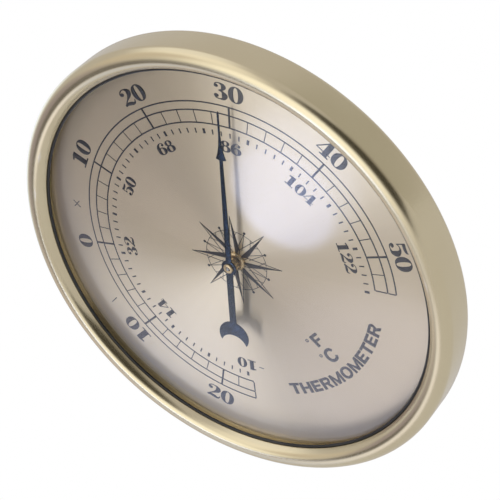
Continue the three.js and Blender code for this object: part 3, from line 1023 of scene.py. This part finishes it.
def print_rose():
    """Eight slim points, half of each filled, between eight short outlined ones with dotted tips."""
    ink = Ink("dial_rose")
    line = 0.0042
    thin = line * 0.8
    shoulder, long_tip, short_tip, short_shoulder = 0.086, 0.296, 0.214, 0.088
    ring, notch = 0.196, 0.150       # radii of the broken ring and of the angles inside it
    for i in range(8):
        middle = 45.0 * i
        between = middle + 22.5
        tip = on_dial(long_tip, middle)
        foot = on_dial(0.03, middle)
        ink.shape([foot, on_dial(shoulder, middle + 22), tip])
        line_through(ink, [foot, on_dial(shoulder, middle - 22), tip], line * UNIT)
        tip = on_dial(short_tip, between)
        sides = [on_dial(short_shoulder, between + turn) for turn in (-10, 10)]
        line_through(ink, [sides[0], tip, sides[1]], thin * UNIT)
        ink.shape(circle(*tip, 0.0085 * UNIT, 16))
        corners = [on_dial(ring, between - 13.5), on_dial(notch, middle), on_dial(ring, middle - 9)]
        line_through(ink, corners, thin * UNIT)
        ring_line(ink, ring, thin, middle + 1.8, between - 1.6)
        ring_line(ink, ring, thin, between + 1.6, middle + 43.2)
    ink.make()


# ---- hand and spindle

def hand_loop():
    """Outline of the hand pointing up, and the hole for the arbor."""
    tip_half, nose, base, barb = (k * UNIT for k in (0.0045, 0.875, 0.7177, 0.0305))
    arm_end, arm_root, tail, hub = (k * UNIT for k in (0.009, 0.018, 0.0205, 0.0475))
    crescent, crescent_radius, bite, bite_radius = (k * UNIT for k in (-0.487, 0.096, -0.57, 0.0875))
    apart = bite - crescent
    horn_z = (apart ** 2 + crescent_radius ** 2 - bite_radius ** 2) / (2 * apart)
    horn_x = math.sqrt(crescent_radius ** 2 - horn_z ** 2)
    horn = math.degrees(math.atan2(horn_z, horn_x))
    bite_angle = math.degrees(math.atan2(crescent + horn_z - bite, horn_x))
    neck = math.degrees(math.acos(tail / crescent_radius))
    arm_angle = math.degrees(math.acos(arm_root / hub))
    tail_angle = math.degrees(math.acos(tail / hub))
    arrow = bezier((tip_half, nose), (1.6 * tip_half, base + 0.55 * (nose - base)),
                   (3.2 * tip_half, base + 0.25 * (nose - base)), (barb, base), 12)
    right = [(0, HAND_REACH), (tip_half, HAND_REACH - 2 * tip_half), *arrow, (arm_end, base - 0.006 * UNIT)]
    right += arc((0, 0), hub, arm_angle, -tail_angle, 14)
    right += arc((0, crescent), crescent_radius, neck, horn, 22)
    bitten = arc((0, bite), bite_radius, bite_angle, 180 - bite_angle, 28)
    left = [(-x, z) for x, z in reversed(right[1:])]
    return [right + bitten[1:-1] + left, circle(0, 0, ARBOR_BORE)]


def make_hand():
    hand = flat_part("hand", hand_loop(), *ends_of("pointer"), edge=0.045)
    turn_in_plane(hand, HAND_ANGLE)
    stand_for(hand, "pointer")


def make_pipe():
    back, front = ends_of("pointer_pipe")
    radius = 0.0425 * UNIT
    section = [
        (ARBOR_BORE, back), (radius - 0.18, back), (radius, back + 0.12),
        (radius, front), (ARBOR_BORE, front),
    ]
    stand_for(turned("hand_pipe", soften(section, 0.07)), "pointer_pipe")


def make_cap():
    back, front = ends_of("pointer_cap")
    radius = 0.0295 * UNIT
    dome = bezier((radius, back + 0.16), (radius, front - 0.02), (radius * 0.7, front), (0.42, front), 8)
    section = [
        (ARBOR_BORE, back), (radius - 0.04, back), (radius, back + 0.04), *dome, (ARBOR_BORE, front - 0.07),
    ]
    stand_for(turned("hand_cap", section), "pointer_cap")


def make_arbor():
    back, front = ends_of("arbor")
    nose = arc((0, front - ARBOR_RADIUS), ARBOR_RADIUS, 0, 90, 8)
    tail = arc((0, back + ARBOR_RADIUS), ARBOR_RADIUS, -90, 0, 8)
    stand_for(turned("spindle_pin", [*tail, *nose[:-1], (0, front)], 32), "arbor")


def make_collet():
    """Shouldered barrel with a slot on top for the coil's inner end."""
    back, front = ends_of("coil_collet")
    barrel, shoulder, shoulder_front = 1.3, 1.9, -1.5
    section = [
        (ARBOR_BORE, back), (shoulder, back), (shoulder, shoulder_front), (barrel, shoulder_front),
        (barrel, front), (ARBOR_BORE, front),
    ]
    collet = turned("collet", soften(section, 0.08))
    slot = flat_part("slot", [box_loop(0.5, -0.16, 2.4, 0.16)], -1.3, front + 1, edge=0.01)
    turn_in_plane(slot, -math.pi / 2)
    carve(collet, [slot])
    stand_for(collet, "coil_collet")


# ---- movement behind the dial

def make_coil():
    turns, inner, outer = 5, 1.62, STUD_DISTANCE - 0.95
    pitch = (outer - inner) / turns
    steps_per_turn, thickness = 72, 0.36

    def side(offset):
        row = []
        for i in range(turns * steps_per_turn + 1):
            angle = 2 * math.pi * i / steps_per_turn
            radius = inner + pitch * i / steps_per_turn + offset
            row.append((radius * math.sin(angle), radius * math.cos(angle)))
        return row

    loop = side(-thickness / 2) + side(thickness / 2)[::-1]
    stand_for(flat_part("spiral_strip", [loop], *ends_of("bimetal_coil")), "bimetal_coil")


def make_stud():
    back, front = ends_of("coil_stud")
    section = [(0, back), (0.65, back), (0.65, front - 0.12), (0.5, front), (0, front)]
    stud = turned("stud_post", soften(section, 0.06, closed=False), 32, (0, STUD_DISTANCE))
    slot = box_loop(-1, STUD_DISTANCE - 0.2, 1, STUD_DISTANCE + 0.2)
    carve(stud, [flat_part("slot", [slot], front - 0.6, front + 1, edge=0.01)])
    stand_for(stud, "coil_stud")


def make_lever():
    boss, half = 3.2, 1.1
    join = math.degrees(math.acos(half / boss))
    loop = arc((0, 0), boss, 180 - join, 360 + join, 48)
    loop += arc((0, STUD_DISTANCE), half, 0, 180, 20)
    loops = [loop, circle(0, 0, 1.45)]
    stand_for(flat_part("set_lever", loops, *ends_of("regulator_lever"), 0.06), "regulator_lever")


def make_hub():
    back, front = ends_of("regulator_hub")
    shoulder = back_of("bridge") - 2 * JOINT
    head, barrel = 2.2, 1.4
    pivot_end = back_of("arbor") - 2 * SLIP
    section = [
        (0, back), (head, back), (head, shoulder), (barrel, shoulder), (barrel, front),
        (ARBOR_BORE, front), (ARBOR_BORE, pivot_end), (0, pivot_end),
    ]
    hub = turned("set_hub", soften(section, 0.1, closed=False))
    carve(hub, [flat_part("slot", [box_loop(-3, -0.3, 3, 0.3)], back - 1, back + 0.25, 0.01)])
    stand_for(hub, "regulator_hub")


def make_washer():
    back, front = ends_of("friction_washer")
    section = [(1.5, back), (2.9, back), (2.85, back + 0.1), (2.0, front), (1.5, front)]
    stand_for(turned("spring_washer", soften(section, 0.04)), "friction_washer")


def make_bridge():
    half = 3.2
    loop = arc((-PILLAR_X, 0), half, 90, 270, 28) + arc((PILLAR_X, 0), half, -90, 90, 28)
    loops = [loop, circle(0, 0, 1.5), circle(-PILLAR_X, 0, 0.8, 32), circle(PILLAR_X, 0, 0.8, 32)]
    stand_for(flat_part("bridge_strap", loops, *ends_of("bridge"), 0.08), "bridge")


def make_pillar(side, name):
    """Tapped post with a flared foot against the back of the dial."""
    node = f"bridge_pillar_{name}"
    back, front = ends_of(node)
    bore, post, foot, tap_depth = 0.8, 1.6, 2.1, 3.2
    section = [
        (0, back + tap_depth), (bore, back + tap_depth), (bore, back), (post, back), (post, front - 0.8),
        (foot, front - 0.5), (foot, front), (0, front),
    ]
    rounded = soften(section, 0.1, closed=False)
    stand_for(turned(f"pillar_{name}", rounded, 40, (side * PILLAR_X, 0)), node)


def make_screw(side, name):
    """Slotted cheese head and a threaded shank."""
    node = f"bridge_screw_{name}"
    back, front = ends_of(node)
    head, shank, root = 1.45, 0.75, 0.66
    under_head = back_of("bridge") - 0.03
    section = [(0, back), (head - 0.2, back), (head, back + 0.2), (head, under_head), (shank, under_head)]
    pitch = 0.4
    turns = int((front - 0.3 - under_head) / pitch)
    for i in range(turns):
        start = under_head + 0.1 + i * pitch
        section += [(root, start + 0.05), (shank, start + pitch / 2)]
    section += [(0.55, front), (0, front)]
    x = side * PILLAR_X
    screw = turned(f"screw_{name}", section, 40, (x, 0))
    carve(screw, [flat_part("slot", [box_loop(x - 2, -0.22, x + 2, 0.22)], back - 1, back + 0.3, 0.01)])
    stand_for(screw, node)


# ---- stage, light and camera

def make_floor():
    """A pale round floor well below the thermometer."""
    radius_m, drop_m = 0.40, 0.16
    bm = bmesh.new()
    bmesh.ops.create_circle(bm, cap_ends=True, segments=96, radius=radius_m)
    floor = add_to_scene("floor", to_mesh(bm, "floor"))
    floor.location = (0, 0, cad_low.z - drop_m)
    material, nodes, shader = new_material("pale_floor", Roughness=0.9)
    speck = nodes.noise(nodes.new("ShaderNodeTexCoord").outputs["Object"], 60.0, 3.0)
    nodes.put(shader, "Base Color", nodes.mix(speck, (0.86, 0.86, 0.86), (0.90, 0.90, 0.90)))
    floor.data.materials.append(material)


def direction(azimuth, elevation):
    """Unit vector towards a place in the studio: azimuth 0 is in front of the dial, 90 to its right."""
    a, e = math.radians(azimuth), math.radians(elevation)
    return math.sin(a) * math.cos(e), -math.cos(a) * math.cos(e), math.sin(e)


# Soft round cards of the studio: azimuth, elevation, half angles of the core and of its edge, colour.
# Later cards cover earlier ones.
CARDS = [
    (-108, 28, 6, 24, (1.25, 1.40, 1.70)),
    (5, 50, 8, 30, (1.20, 1.18, 1.18)),
    (50, 75, 8, 30, (1.10, 1.10, 1.15)),
    (-75, -4, 5, 18, (0.76, 0.70, 0.74)),
    (120, 0, 20, 45, (0.50, 0.49, 0.47)),
    (-30, 40, 8, 22, (0.75, 0.70, 0.66)),
    (-60, 22, 8, 22, (0.42, 0.38, 0.46)),
    (72, -8, 10, 28, (0.38, 0.36, 0.34)),
    (37, -6, 23, 36, (0.06, 0.055, 0.045)),
    (-10, 8, 10, 28, (1.50, 1.50, 1.50)),
    (-64, -14, 8, 17, (0.75, 0.80, 1.02)),
    (-46, -21, 8, 15, (1.20, 1.20, 1.40)),
    (-46, 9, 7, 15, (0.15, 0.14, 0.14)),
    (-33, 0, 3, 8, (1.8, 2.0, 2.6)),
    (-36.0, -0.9, 4.2, 6.0, (2.25, 2.55, 3.7)),
]
SURROUND = (0.63, 0.62, 0.64)


def make_world():
    world = bpy.data.worlds.new("studio")
    bpy.context.scene.world = world
    world.use_nodes = True
    nodes = Nodes(world.node_tree)
    looking = nodes.vector("NORMALIZE", nodes.new("ShaderNodeTexCoord").outputs["Generated"])
    colour = SURROUND
    for azimuth, elevation, core, edge, card in CARDS:
        towards = nodes.vector("DOT_PRODUCT", looking, direction(azimuth, elevation))
        outside, full = math.cos(math.radians(edge)), math.cos(math.radians(core))
        inside = nodes.remap(towards, outside, full, 0, 1, "SMOOTHSTEP")
        colour = nodes.mix(inside, colour, card)
    seen = nodes.new("ShaderNodeLightPath").outputs["Is Camera Ray"]
    background = world.node_tree.nodes["Background"]
    nodes.put(background, "Color", nodes.mix(seen, colour, (1, 1, 1)))


def make_camera():
    """Close view from the right, level with the dial, with the camera rolled clockwise."""
    lens = 115.6
    azimuth, elevation, roll = 48.08, 2.35, 43.73
    distance_m = 0.23145
    look_at_m = Vector((0.00372, -0.0029, -0.00016))
    camera = bpy.data.cameras.new("camera")
    camera.lens = lens
    camera.clip_start = 0.01
    holder = add_to_scene("camera", camera)
    backwards = Vector(direction(azimuth, elevation))
    level = backwards.to_track_quat("Z", "Y").to_matrix().to_4x4()
    rolled = level @ Matrix.Rotation(math.radians(-roll), 4, "Z")
    holder.matrix_world = Matrix.Translation(look_at_m + backwards * distance_m) @ rolled
    bpy.context.scene.camera = holder


make_camera()
make_world()
make_floor()

make_bezel()
make_glass()
make_gasket()
make_spacer()
make_dial()
make_dial_bush()
print_celsius_scale()
print_fahrenheit_scale()
celsius_numbers = [(str(abs(t)), scale_angle(t), t > -20) for t in range(-20, 51, 10)]
print_numbers("celsius_numbers", celsius_numbers, radius=1.087, height=0.101)
fahrenheit_numbers = [(str(round(t * 1.8 + 32)), scale_angle(t), True) for t in range(-10, 51, 10)]
fahrenheit_numbers.append(("-10", scale_angle(celsius_of(-10)), True))
print_numbers("fahrenheit_numbers", fahrenheit_numbers, radius=0.748, height=0.071)
print_lettering()
print_signs()
print_rose()
make_hand()
make_pipe()
make_cap()
make_arbor()
make_collet()
make_coil()
make_stud()
make_lever()
make_hub()
make_washer()
make_bridge()
for side, name in ((-1, "left"), (1, "right")):
    make_pillar(side, name)
    make_screw(side, name)
make_can()
make_can_marks()
make_retaining_ring()
make_friction_ring()

bpy.context.scene.view_settings.view_transform = "Standard"
